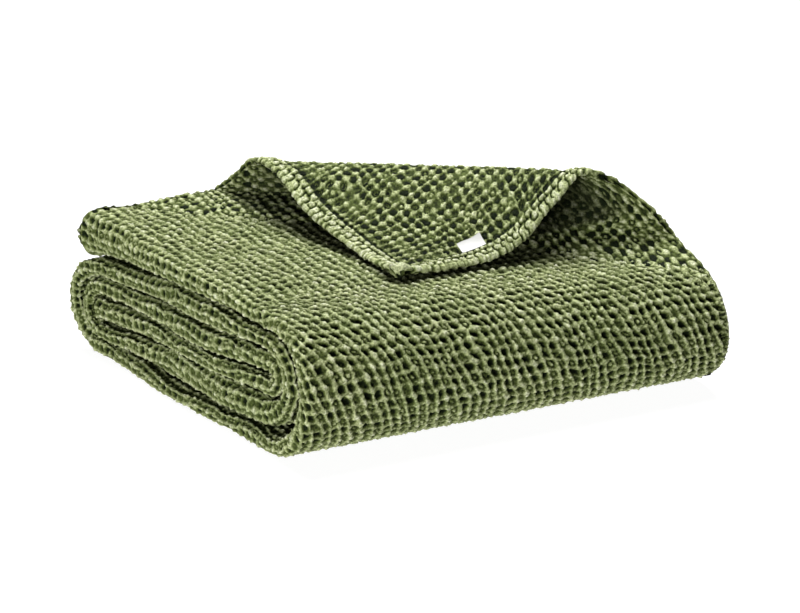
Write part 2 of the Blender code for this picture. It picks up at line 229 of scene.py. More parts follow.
def weave_at(weave, x, s):
    """Height of a weave where the cloth's own coordinates are x and s."""
    u = x + WARP * waves(0, x, s, WARP_ACROSS) + SMALL_WARP * waves(4, x, s, SMALL_WARP_SIZE)
    v = s + WARP * waves(1, x, s, WARP_ALONG) + SMALL_WARP * waves(5, x, s, SMALL_WARP_SIZE)
    lumps = YARN_LUMP * waves(6, x, s, YARN_LUMP_SIZE) + CELL_LUMP * waves(7, x, s, CELL_LUMP_SIZE)
    return relief(weave, u / CELL_ACROSS, v / CELL_ALONG) + lumps


GATHER_LEVEL = -0.10  # plain height of gathered yarns
GATHER_LUMP, GATHER_LUMP_SIZE = 0.20, 0.0055
SLOT_DEPTH, SLOT_HALF = 0.85, 0.15
SLOT_SIZE, SLOT_FINE_SIZE, SLOT_FINE = 0.0085, 0.0048, 0.5


def squiggles(along, across):
    """The gathered yarns of stacked edges: lumps parted by thin winding slots, dark with painted shade."""
    wind = waves(8, along, across, SLOT_SIZE) + SLOT_FINE * waves(9, along, across, SLOT_FINE_SIZE)
    lumps = GATHER_LUMP * waves(10, along, across, GATHER_LUMP_SIZE)
    return GATHER_LEVEL + lumps - SLOT_DEPTH * np.exp(-(wind / SLOT_HALF) ** 2)


HEM_CELL = 0.0098  # one repeat of the pressed waffle along a hem
HEM_ROWS = ((0.0, 0.28), (0.5, 0.74))  # its two staggered rows: shift in repeats, place in hem widths
STITCH = 0.0042  # one stitch of the seam
HEM_LEVEL = -0.16  # plain height of a hem
HEM_LUMP, HEM_LUMP_SIZE = 0.12, 0.0050
HEM_SWAY, HEM_SWAY_SIZE = 0.10, 0.0110
LOOP_DRIFT, LOOP_DRIFT_SIZE = 0.16, 0.0300  # how far the loops run off their even spacing
LOOP_HALF, LOOP_SPREAD = 0.36, 0.10  # a loop's half length and how much it varies, in repeats
LOOP_TALL = 0.25  # its half height, in hem widths
LOOP_SHIFT = 0.10  # how far it sits off its row
LOOP_CROWN, CROWN_HALF = 0.12, 0.5  # how far its middle stands up, and over how much of it
ARC_DEPTH, ARC_HALF = 0.78, 0.24  # the arc groove round it, dark with painted shade
ARC_FROM, ARC_ALONG, ARC_ACROSS = 0.75, 0.9, 0.5  # the side of the loop that the arc is on


def hem_weave(along, h):
    """A hem's two rows of pressed loops, each with an arc groove at one side, dark with painted shade. h is
    the distance from the edge."""
    total = HEM_LEVEL + HEM_LUMP * waves(10, along, h, HEM_LUMP_SIZE)
    total = total + HEM_SWAY * waves(11, along, h, HEM_SWAY_SIZE)
    for number, (shift, place) in enumerate(HEM_ROWS):
        u = along / HEM_CELL + shift + LOOP_DRIFT * waves(8, along, h, LOOP_DRIFT_SIZE)
        k = np.rint(u)
        chance = PIT_TABLE[number, k.astype(int) % PIT_TABLE.shape[1], 3 + 7 * number]
        du = (u - k) / (LOOP_HALF + LOOP_SPREAD * chance)
        dw = (h / HEM_WIDTH - place - LOOP_SHIFT * (chance - 0.5)) / LOOP_TALL
        r = np.hypot(du, dw)
        side = ease(ARC_FROM + ARC_ALONG * du - ARC_ACROSS * dw * np.sign(chance - 0.5))
        total = total - ARC_DEPTH * np.exp(-((r - 1.0) / ARC_HALF) ** 2) * side
        total = total + LOOP_CROWN * np.exp(-(r / CROWN_HALF) ** 2)
    return total


# ---- the rolled strip ----
LAYER_STEPS, TURN_STEPS = 401, 241  # rows of the path on a layer and round a turn
NORMAL_REACH = 6  # rows over which its normals are smoothed


def layer_at(layer, y, front, back):
    """Level, thickness and stand-out, each from its value at the front over the middle to the back."""
    early = ease((y - front) / (LAYER_MIDDLE - front))
    late = ease((y - LAYER_MIDDLE) / (back - LAYER_MIDDLE))
    first = y < LAYER_MIDDLE
    return [np.where(first, between(early, layer[k], layer[k + 1]), between(late, layer[k + 1], layer[k + 2]))
            for k in (1, 4, 7)]


def strip_path():
    """Fine rows of y, level, thickness, stand-out and stretch number down the middle of the strip.
    Layers are the even stretches and turns the odd ones, counted from the strip's outer end."""
    starts = (TOP_END,) + tuple(turn.start for turn in TURNS) + (CORE_END,)
    rows = []
    for number, layer in enumerate(LAYERS):
        first, last = starts[number], starts[number + 1]
        front, back = min(first, last), max(first, last)
        y = np.linspace(first, last, LAYER_STEPS)
        level, thick, out = layer_at(layer, y, front, back)
        droop = TOP_DROOP * ease((y - DROOP_START) / (TOP_END - DROOP_START)) * (number == 0)
        level, thick = level - droop / 2.0, thick + droop
        rows.append(np.stack([y, level, thick, out, np.full(len(y), 2.0 * number)], axis=1))
        if number < len(TURNS):
            turn, after = TURNS[number], LAYERS[number + 1]
            at_front = turn.reach < turn.start
            angle = np.linspace(0.0, pi, TURN_STEPS)[1:-1]
            level_out = after.level_front if at_front else after.level_back
            thick_out = after.thick_front if at_front else after.thick_back
            out_out = after.out_front if at_front else after.out_back
            bulge, turned = np.sin(angle), (1.0 - np.cos(angle)) / 2.0
            y = turn.start + (turn.reach - turn.start) * bulge
            mid = between(turned, level[-1], level_out)
            full = between(bulge * bulge, between(angle / pi, thick[-1], thick_out), turn.thick)
            side = between(turned, out[-1], out_out)
            rows.append(np.stack([y, mid, full, side, np.full(len(y), 2.0 * number + 1.0)], axis=1))
    return np.concatenate(rows)


def smoothed(values, reach):
    """A running mean that leaves the ends where they are."""
    first, last = np.repeat(values[:1], reach, axis=0), np.repeat(values[-1:], reach, axis=0)
    padded = np.concatenate([first, values, last])
    total = np.cumsum(np.concatenate([np.zeros_like(padded[:1]), padded]), axis=0)
    width = 2 * reach + 1
    return (total[width:] - total[:-width]) / width


def length(points):
    """The length of a line of points, up to each of them."""
    steps = np.linalg.norm(np.diff(points, axis=0), axis=1)
    return np.concatenate([[0.0], np.cumsum(steps)])


def strip_state():
    """The path, its outward normals, and its lengths down the middle and along the outer face."""
    rows = strip_path()
    ahead = unit(np.gradient(rows[:, :2], axis=0))
    normal = unit(smoothed(np.stack([ahead[:, 1], -ahead[:, 0]], axis=1), NORMAL_REACH))
    half = rows[:, 2:3] / 2.0
    outer = rows[:, :2] + normal * half
    return np.column_stack([rows, normal, length(rows[:, :2]), length(outer)])


def settle(points):
    """The whole heap's sag at the right and its slant at the left."""
    x, y, z = points[..., 0], points[..., 1], points[..., 2]
    right = ease((x - SAG_START) / (STRIP_WIDTH - SAG_START))
    front = 1.0 - ease((y - SAG_FRONT) / SAG_DEPTH)
    back = ease((y - BACK_SAG_START) / BACK_SAG_DEPTH)
    drop = right * (RIGHT_SAG * front + BACK_SAG * back)
    skew = LEFT_SKEW * y * (1.0 - x / STRIP_WIDTH)
    return np.stack([x - skew, y, z * (1.0 - drop)], axis=-1)


STATE = strip_state()
Y, LEVEL, THICK, STAND_OUT, STRETCH, NORMAL_Y, NORMAL_Z, MIDDLE_LENGTH, OUTER_LENGTH = STATE.T
ENDS = [OUTER_LENGTH[STRETCH == number].max() for number in range(len(LAYERS) + len(TURNS))]
TOP_LENGTH = ENDS[0]

FOLD_COLUMNS = 29  # mesh columns round the left fold, evenly spaced along its section
FOLD_SAMPLES = 2001
fold_angles = np.linspace(0.0, pi, FOLD_SAMPLES)
FOLD_INSET, FOLD_HEIGHT = 1.0 - np.sin(fold_angles) ** FOLD_SQUARE, np.cos(fold_angles)
FOLD_ARC = np.concatenate([[0.0], np.cumsum(np.hypot(np.diff(FOLD_INSET), np.diff(FOLD_HEIGHT)))])

# Columns of a section that are read by name, and the part of it that each of its points is on.
SHARE, HEIGHT, PART = 0, 2, 5
OVER, LEFT_FOLD, BELOW, STACKED = range(4)


def ring_profile():
    """One section round the strip, from the right over the top face, round the left fold and back under
    it: share of the width, inset in half thicknesses, height in half thicknesses, metres further in,
    length of cloth round the fold, and part."""
    step = CELL_ACROSS / QUADS_ACROSS
    count = int(round((STRIP_WIDTH - RIGHT_MARGIN) / step))
    rows = []
    across = np.linspace(1.0, 0.0, count + 1)
    for share in across:
        rows.append((share, between(share, 1.0, -RIGHT_EDGE_ROUND), 1.0, 0.0, 0.0, OVER))
    for arc in np.linspace(0.0, FOLD_ARC[-1], FOLD_COLUMNS + 2)[1:-1]:
        rows.append((0.0, np.interp(arc, FOLD_ARC, FOLD_INSET), np.interp(arc, FOLD_ARC, FOLD_HEIGHT),
                     0.0, arc, LEFT_FOLD))
    for share in across[::-1]:
        rows.append((share, between(share, 1.0, -RIGHT_EDGE_ROUND), -1.0, 0.0, 0.0, BELOW))
    return np.array(rows)


# Stacked edges at the right of each layer, from its under face up: the lower double fold, then the
# two hems. low and high are shares of the layer's height, and back is how far the edge stands back.
Lip = namedtuple("Lip", "name low high back")
LIPS = (
    Lip("double_fold", 0.00, 0.46, 0.0010),
    Lip("inner_hem", 0.47, 0.73, 0.0030),
    Lip("outer_hem", 0.74, 1.00, 0.0),
)
LIP_STEPS = 7
OUTER_HEM_LOW = 0.48  # the outer hem's lower side, in half thicknesses from the middle


def lip_profile():
    """Columns as ring_profile: the stacked edges from the under face to the top one."""
    rows = []
    for number, lip in enumerate(LIPS):
        radius = lip.high - lip.low
        middle = (lip.low + lip.high) - 1.0
        for place, angle in enumerate(np.linspace(-pi / 2.0, pi / 2.0, LIP_STEPS + 2)):
            first, last = place == 0, place == LIP_STEPS + 1
            if (number == 0 and first) or (number == len(LIPS) - 1 and last):
                continue
            height = middle + radius * np.sin(angle)
            inward = -RIGHT_EDGE_ROUND * (1.0 - np.cos(angle)) if not (first or last) else 0.0
            deep = LIP_DEPTH if first or last else lip.back
            rows.append((1.0, inward, height, deep, 0.0, STACKED))
    return np.array(rows)


PROFILE = np.concatenate([ring_profile(), lip_profile()])


def turned_ply(x, y):
    """How much thinner the top layer is behind the fold, where its uppermost ply is turned over."""
    reach, _, tip = flap_corner()
    behind = (x - tip[0]) * reach[0] + (y - tip[1]) * reach[1] - FLAP[1].reach
    return PLY * ease(behind / BARE_RAMP)


SMALLEST = 1e-12  # keeps a normal of no length from dividing by zero


def vertex_normals(points, closed):
    """Unit normals of a grid whose columns may close on themselves."""
    if closed:
        across = np.roll(points, -1, axis=1) - np.roll(points, 1, axis=1)
    else:
        across = np.gradient(points, axis=1)
    along = np.gradient(points, axis=0)
    normal = np.cross(across, along)
    size = np.linalg.norm(normal, axis=2, keepdims=True)
    return normal / np.maximum(size, SMALLEST)


RAGGED, RAGGED_SIZE = 0.0012, 0.12  # how far the stacked edges run in and out
RAGGED_STRETCH = 0.6
GROOVE_CLOSED = 0.8  # how much of the uppermost groove is gone where its ply is turned over


def strip_grid(lengths, columns):
    """Points, share of bare second ply and cloth coordinate of the rings at these outer lengths."""
    def at(values):
        return np.interp(lengths, OUTER_LENGTH, values)[:, None]
    share, inset, height, deep, arc, part = PROFILE[columns].T
    half = at(THICK) / 2.0
    normal = np.stack([at(NORMAL_Y), at(NORMAL_Z)])
    normal /= np.linalg.norm(normal, axis=0)
    wander = EDGE_WANDER * np.sin(2.0 * pi * at(MIDDLE_LENGTH) / EDGE_WAVE) - at(STAND_OUT)
    stacked = part == STACKED
    s = np.repeat(lengths[:, None], len(share), 1)
    ragged = RAGGED * waves(2, s, height[None, :] * RAGGED_STRETCH, RAGGED_SIZE)
    x = wander + share * (STRIP_WIDTH - wander) + inset * half - deep + np.where(stacked, ragged, 0.0)
    rise = height * half
    y = at(Y) + normal[0] * rise
    z = at(LEVEL) + normal[1] * rise
    on_top = (lengths < TOP_LENGTH)[:, None]
    z = z - np.where(on_top, turned_ply(x, y), 0.0) * np.clip(height, 0.0, 1.0)
    gone = np.where(on_top & stacked & (height > OUTER_HEM_LOW), turned_ply(x, y) / PLY, 0.0)
    x = x - gone * GROOVE_CLOSED * LIP_DEPTH
    round_fold = STRIP_WIDTH - wander + half * (arc - 1.0)
    below = STRIP_WIDTH - 2.0 * wander + half * (FOLD_ARC[-1] - 2.0) + x
    cloth = np.where(part == OVER, STRIP_WIDTH - x, np.where(part == LEFT_FOLD, round_fold, below))
    base = settle(np.stack([x, y, np.maximum(z, 0.0)], axis=-1))
    bare = np.where(on_top & (part == OVER), turned_ply(x, y) / PLY, 0.0)
    return base, bare, cloth


# ---- the turned corner's shape ----
def flap_stations():
    """Lengths of cloth from the tip's landing place to each row of FLAP, and the rows' reach and rise."""
    shape = np.array([(row.reach, row.rise) for row in FLAP])
    return FLAP[0].reach + length(shape), shape


def flap_corner():
    """The way the corner reaches, where the corner lies in the flat ply, and where its tip lands."""
    reach = np.array([np.cos(FOLD_TURN), np.sin(FOLD_TURN)])
    corner = np.array([STRIP_WIDTH - SIDE_INSET, TOP_END - END_INSET])
    return reach, corner, corner - reach * flap_stations()[0][-1]


def smooth_rows(stations, values, at):
    """A smooth curve through values at stations, read at any length."""
    slopes = np.gradient(values, stations, axis=0)
    index = np.clip(np.searchsorted(stations, at) - 1, 0, len(stations) - 2)
    span = (stations[index + 1] - stations[index])[..., None]
    t = (at - stations[index])[..., None] / span
    return ((2 * t ** 3 - 3 * t ** 2 + 1) * values[index] + (t ** 3 - 2 * t ** 2 + t) * span * slopes[index]
            + (3 * t ** 2 - 2 * t ** 3) * values[index + 1] + (t ** 3 - t ** 2) * span * slopes[index + 1])


def top_height(x, y):
    """Height of the top layer's upper face."""
    layer, turn, under = LAYERS[0], TURNS[0], LAYERS[1]
    level, thick, _ = layer_at(layer, np.clip(y, turn.start, TOP_END), turn.start, TOP_END)
    low = under.level_front - under.thick_front / 2.0
    crown = (level + thick / 2.0 - low) / 2.0
    deep = turn.start - turn.reach + turn.thick / 2.0
    past = np.clip((turn.start - y) / deep, 0.0, 1.0)
    z = low + crown * (1.0 + np.sqrt(1.0 - past ** 2))
    return settle(np.stack([x, y, z], axis=-1))[..., 2]


FLAP_END = np.array([(row.end_reach, row.end_rise) for row in FLAP])
FLAP_SIDE = np.array([(row.side_reach, row.side_rise) for row in FLAP])
FLAP_PULL = np.array([[row.side_pull] for row in FLAP])


def flap_rows(along, share):
    """Reach and rise at a length of cloth and a share of the way from the end hem to the side hem."""
    stations, shape = flap_stations()
    return (smooth_rows(stations, shape, along) + (1.0 - share) ** 2 * smooth_rows(stations, FLAP_END, along)
            + share ** 2 * smooth_rows(stations, FLAP_SIDE, along))


NARROWEST = 0.0001  # the ply is taken to be at least this wide, at its tip
NUDGE = 0.0001  # half the length over which its slope is read


def flap_shape(along, slide):
    """Middle and outward normal of the turned ply."""
    reach, corner, tip = flap_corner()
    stations, shape = flap_stations()
    to_side = (corner[0] - tip[0] - reach[0] * along) / reach[1]
    to_end = (tip[1] + reach[1] * along - corner[1]) / reach[0]
    share = np.clip((slide - to_end) / np.maximum(to_side - to_end, NARROWEST), 0.0, 1.0)
    middle_row = smooth_rows(stations, shape, along)
    place = flap_rows(along, share[..., None])
    slope = unit(flap_rows(along + NUDGE, share[..., None]) - flap_rows(along - NUDGE, share[..., None]))
    pull = smooth_rows(stations, FLAP_PULL, along)[..., 0]
    sway = TIP_SWAY * (1.0 - np.clip(middle_row[..., 0] / SWAY_FROM, 0.0, 1.0)) ** SWAY_POWER
    slide = slide - pull * share ** 2 - sway
    x = tip[0] + reach[0] * place[..., 0] + reach[1] * slide
    y = tip[1] + reach[1] * place[..., 0] - reach[0] * slide
    root_side = (corner[0] - tip[0] - reach[0] * stations[0]) / reach[1]
    lean = 1.0 + RIDGE_LEAN * slide / root_side
    rise = np.where(place[..., 1] > 0.0, place[..., 1] * lean, place[..., 1])
    middle = np.stack([x, y, top_height(x, y) + rise], axis=-1)
    outward = np.stack([slope[..., 1] * reach[0], slope[..., 1] * reach[1], -slope[..., 0]], axis=-1)
    return middle, outward


# ---- meshes ----
def grid_quads(rows, columns, closed, first=0):
    """Indices of the quads of a grid of rows x columns points."""
    i = np.arange(rows - 1)[:, None]
    j = np.arange(columns if closed else columns - 1)[None, :]
    k = (j + 1) % columns
    here, ahead = i * columns, (i + 1) * columns
    return np.stack([here + j, here + k, ahead + k, ahead + j], axis=-1).reshape(-1, 4) + first


def placed(name, data):
    thing = bpy.data.objects.new(name, data)
    bpy.context.scene.collection.objects.link(thing)
    return thing


def cloth_mesh(name, points, quads, cloth, material):
    """A mesh that keeps each vertex's place in the flat cloth as texture coordinates."""
    mesh = bpy.data.meshes.new(name)
    mesh.from_pydata((points - CENTRE).tolist(), [], quads.tolist())
    mesh.update()
    mesh.shade_smooth()
    mesh.materials.append(material)
    uv = mesh.uv_layers.new(name="cloth")
    corner = np.empty(len(mesh.loops), dtype=np.int32)
    mesh.loops.foreach_get("vertex_index", corner)
    uv.data.foreach_set("uv", cloth[corner].astype(np.float32).ravel())
    return mesh


def cloth_piece(name, points, normals, quads, rise, cloth, open_air=1.0):
    """A piece of the cloth, from a grid of points and the quads that are kept of it. rise is 0 in the
    pits and 1 on the crests, and open_air is the share of the light that reaches the cloth."""
    used, quads = np.unique(quads, return_inverse=True)
    flat = np.stack(cloth, axis=-1).reshape(-1, 2)[used]
    mesh = cloth_mesh(name, points.reshape(-1, 3)[used], quads.reshape(-1, 4), flat, COTTON)
    for attribute, values in (("rise", rise), ("open_air", open_air + 0.0 * rise)):
        layer = mesh.attributes.new(attribute, "FLOAT", "POINT")
        layer.data.foreach_set("value", values.ravel()[used].astype(np.float32))
    mesh.normals_split_custom_set_from_vertices(normals.reshape(-1, 3)[used].tolist())
    piece = placed(name, mesh)
    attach(piece, "root")
    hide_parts("blanket_cloth")
    return piece


FIRST = 0.004  # outer length of the first ring, at the strip's end
END_FADE = 0.004  # the weave rises over this length behind it
SKEW = 0.36  # the ribs run off to the right round the front turn, by this share of their length
SKEW_LEAD = 0.030  # that begins so far before the turn
SKEW_LENGTH = 0.200  # and ends after this length
FINE_GAP = 0.002  # columns closer than this carry the full weave
GAP_FADE = 0.004  # and it's gone from those this much wider apart
STACK_STRETCH = 0.012  # half thicknesses to metres, for the gathered yarns
STACK_RELIEF, STACK_LEVEL = 0.80, -0.16
FLOOR_CLEAR = 0.0002  # nothing of the weave dips below this height


def strip_piece(name, lengths, columns):
    """A stretch of the rolled strip with its weave, as a tube of rings."""
    before, after = 2.0 * lengths[0] - lengths[1], 2.0 * lengths[-1] - lengths[-2]
    wide = np.concatenate([[before], lengths, [after]])
    base, bare, cloth = strip_grid(wide, columns)
    s = np.repeat(wide[:, None], len(columns), 1)
    gap = np.abs(np.roll(PROFILE[columns, SHARE], -1) - PROFILE[columns, SHARE]) * STRIP_WIDTH
    fine = 1.0 - ease((np.maximum(gap, np.roll(gap, 1)) - FINE_GAP) / GAP_FADE)
    drawn = cloth + SKEW * np.clip(s - TOP_LENGTH + SKEW_LEAD, 0.0, SKEW_LENGTH)
    high = between(bare, weave_at(FACE, drawn, s), weave_at(BACK, cloth, s))
    gathered = STACK_RELIEF * squiggles(s, PROFILE[columns, HEIGHT] * STACK_STRETCH) + STACK_LEVEL
    high = np.where(PROFILE[columns, PART] == STACKED, gathered, high)
    lift = (RIDGE_PROUD + PIT_DEPTH * high) * fine * ease((s - FIRST) / END_FADE)
    points = base + vertex_normals(base, True) * lift[..., None]
    points[..., 2] = np.maximum(points[..., 2], FLOOR_CLEAR)
    shaded = vertex_normals(points, True)[1:-1]
    points, high, cloth, s = points[1:-1], high[1:-1], cloth[1:-1], s[1:-1]
    piece = cloth_piece(name, points, shaded, grid_quads(*points.shape[:2], True), 1.0 + high, (cloth, s))


def stretch(first, last, quads_in_cell):
    """Outer lengths of evenly spaced rings from one to another."""
    count = max(2, int(round((last - first) / CELL_ALONG * quads_in_cell)))
    return np.linspace(first, last, count + 1)


END_RELIEF = 0.0030  # depth of the pressed weave on the stacked hems at an end
END_HEMS, CORE_HEMS = 4, 2  # hems seen in the stack at the strip's outer end and at its inner one
END_REACH, CORE_REACH = 0.0070, 0.0060  # how far they stand out
END_STEPS = 13  # mesh rows over the height of one hem
END_QUADS = 6  # and along it, in one cell
END_HEM_ROUND = 0.45  # how much of a hem's width is seen as it turns over, either way
END_SHORT = 0.004  # the stack stops this far short of the right edge
END_RAGGED, END_RAGGED_SIZE = 0.0015, 0.12
END_RAGGED_STRETCH = 0.4
HEM_STAGGER = 0.37  # shift of the loops from one hem to the next, in repeats
END_CREST, END_SHADE = 0.92, 0.45  # rise of a hem's crest, and what is taken from it between two hems
TOP_RIM = 0.98  # the uppermost rim, which isn't between two hems
RIM_LUMPS, RIM_LUMP_SIZE = 0.0016, 0.0070  # how far the yarns stand up along that rim
RIM_POWER = 4


def end_cap(name, at, lips, reach):
    """The stacked hems at an end of the strip, seen from behind."""
    y, level, half = (np.interp(at, OUTER_LENGTH, values) for values in (Y, LEVEL, THICK / 2.0))
    heights, outs, place = [], [], []
    for number in range(lips):
        for angle in np.linspace(-pi / 2.0, pi / 2.0, END_STEPS):
            heights.append((2.0 * number + 1.0 + np.sin(angle)) / lips - 1.0)
            outs.append(np.cos(angle))
            place.append(HEM_WIDTH * (number + 0.5 + END_HEM_ROUND * angle / (pi / 2.0)))
    heights, outs, place = np.array(heights), np.array(outs), np.array(place)
    share = np.linspace(0.0, 1.0, int(STRIP_WIDTH / CELL_ACROSS * END_QUADS))[:, None]
    left = half * (1.0 - np.sqrt(np.maximum(1.0 - heights ** 2, 0.0)))
    x = left + share * (STRIP_WIDTH - END_SHORT - left)
    ragged = END_RAGGED * waves(3, x, heights * END_RAGGED_STRETCH + 0.0 * x, END_RAGGED_SIZE)
    stagger = HEM_CELL * HEM_STAGGER * np.floor(place / HEM_WIDTH)
    pressed = hem_weave(x + stagger, np.mod(place, HEM_WIDTH) + 0.0 * x)
    missing = turned_ply(x, y) if lips == END_HEMS else 0.0 * x
    gone = missing / PLY * (heights > 1.0 - 2.0 / lips)
    out = outs * (reach + ragged + END_RELIEF * pressed - gone * GROOVE_CLOSED * reach)
    z = level + heights * half - missing * np.clip(heights, 0.0, 1.0)
    lumps = np.maximum(waves(10, x, heights + 0.0 * x, RIM_LUMP_SIZE), 0.0)
    z = z + RIM_LUMPS * lumps * np.clip(heights, 0.0, 1.0) ** RIM_POWER
    points = settle(np.stack([x, y + out, z], axis=-1))
    normal = vertex_normals(points, False)
    quads = grid_quads(*points.shape[:2], False)
    if normal[..., 1].mean() < 0.0:
        normal, quads = -normal, quads[:, ::-1]
    rise = END_CREST + pressed - END_SHADE * (1.0 - outs) * (heights < TOP_RIM)
    piece = cloth_piece(name, points, normal, quads, rise, (x, z))


# ---- the turned corner ----
CORNER_ROUND = 0.007  # rounding of the corner where the two hems meet
SEAM_GROOVE = 0.0016  # how deep the seam beside a hem lies
SEAM_HALF = 0.0014  # and its half width
SECOND_LINE = 1.36  # a fainter line of stitches, in hem widths from the edge
HEM_SWELL = 0.0012  # a hem stands this much prouder than in the source
CORNER_SWELL = 0.0030  # where the two hems lie on each other
RIM_STEPS = 8
# The hollow inside the fold, which little light reaches, from the end hem (share 0) to the side hem
# (share 1). foot is where it begins, in metres of flat cloth from the tip's landing place, and shade is
# the light kept out. It ends at HOLLOW_TOP, and both its borders are HOLLOW_SOFT wide.
Hollow = namedtuple("Hollow", "share foot shade")
HOLLOW = (
    Hollow(0.00, 0.205, 0.00),
    Hollow(0.05, 0.190, 0.45),
    Hollow(0.18, 0.152, 0.60),
    Hollow(0.40, 0.150, 0.60),
    Hollow(0.72, 0.158, 0.76),
    Hollow(0.88, 0.187, 0.76),
    Hollow(0.94, 0.198, 0.40),
    Hollow(1.00, 0.208, 0.00),
)
HOLLOW_TOP = 0.236
HOLLOW_SOFT = 0.012
HEM_RELIEF = 0.80  # the hem's wrinkles are this much of the weave's depth
STITCH_DARK = 0.45  # how much of the light the seam's groove keeps out
HEM_EDGE, HEM_FADE = 0.75, 0.30  # where a hem starts to fall to the plain ply, and over what, in hem widths
STITCH_LEVEL, STITCH_WAVE = 0.70, 0.30  # the groove is deeper at each stitch
SECOND_LEVEL, SECOND_DEPTH = 1.7, 0.45  # and the second line stands between them
FOLD_CUT = 0.004  # the turned ply is drawn from this far past its first row
OVER_RIM, RIM_FADE = 0.40, 0.25  # how far round the rim the hem's loops go on
RIM_CLOTH = 0.7 * pi  # length of cloth round the rim, in half thicknesses
TO_NEIGHBOUR = 0.0004  # how far off the neighbours are that give the rim its direction
TURNED_LOOPS = 0.5  # shift that sets the end hem's loops apart from the side hem's
KNOT_LEVEL = -0.08  # the gathered yarns where the two hems lie on each other
KNOT_LUMP, KNOT_LUMP_SIZE = 0.10, 0.0040
KNOT_SLOT, KNOT_SLOT_HALF, KNOT_SLOT_SIZE = 0.45, 0.12, 0.0060
WELL_INSIDE = 40  # columns and rows from the rim where the surface's side is read
GROOVE_FLAT = 0.8  # the weave fades by this much in the seam's groove
GROOVE_DROP = 0.3  # and sinks by this much of its depth
TINY, SHARE_TINY = 1e-9, 1e-6  # keep the rim's direction and the corner's share from dividing by zero


def cloth_place(x_flat, y_flat):
    """Where a point of the flat top ply lies once its corner is turned: middle and outward."""
    reach, corner, tip = flap_corner()
    hx = np.maximum(corner[0] - x_flat, 0.0)
    hy = np.maximum(corner[1] - y_flat, 0.0)
    u = np.clip(1.0 - hx / CORNER_ROUND, 0.0, 1.0)
    v = np.clip(1.0 - hy / CORNER_ROUND, 0.0, 1.0)
    both = (u > 0.0) & (v > 0.0)
    x = np.where(both, corner[0] - CORNER_ROUND * (1.0 - u * np.sqrt(1.0 - v * v / 2.0)), x_flat)
    y = np.where(both, corner[1] - CORNER_ROUND * (1.0 - v * np.sqrt(1.0 - u * u / 2.0)), y_flat)
    along = (x - tip[0]) * reach[0] + (y - tip[1]) * reach[1]
    slide = (x - tip[0]) * reach[1] - (y - tip[1]) * reach[0]
    return (*flap_shape(along, slide), hx, hy)


def one_hem(h, along):
    """A hem's band and the grooves beside it, at a distance from its edge."""
    band = 1.0 - ease((h - HEM_EDGE * HEM_WIDTH) / (HEM_FADE * HEM_WIDTH))
    stitch = STITCH_LEVEL + STITCH_WAVE * np.cos(2.0 * pi * along / STITCH)
    groove = stitch * np.exp(-((h - HEM_WIDTH) / SEAM_HALF) ** 2)
    line = np.exp(-((h - SECOND_LINE * HEM_WIDTH) / SEAM_HALF) ** 2)
    return band, groove + SECOND_DEPTH * (SECOND_LEVEL - stitch) * line


def both_hems(hx, hy, x_flat, y_flat):
    """How much of a point is hem, groove, and corner where the hems lie on each other."""
    (bx, gx), (by, gy) = one_hem(hx, y_flat), one_hem(hy, x_flat)
    band = np.maximum(bx, by)
    groove = np.maximum(gx * (1.0 - by), gy * (1.0 - bx))
    return band, groove, bx * by


def sheltered(station, hx, hy):
    """The share of the light that reaches the ply's face side, inside the fold."""
    reach = flap_corner()[0]
    share = hy / reach[0] / (hx / reach[1] + hy / reach[0] + SHARE_TINY)
    shares, feet, shades = zip(*HOLLOW)
    foot, shade = np.interp(share, shares, feet), np.interp(share, shares, shades)
    deep = ease((station - foot) / HOLLOW_SOFT) * (1.0 - ease((station - HOLLOW_TOP) / HOLLOW_SOFT))
    return 1.0 - shade * deep


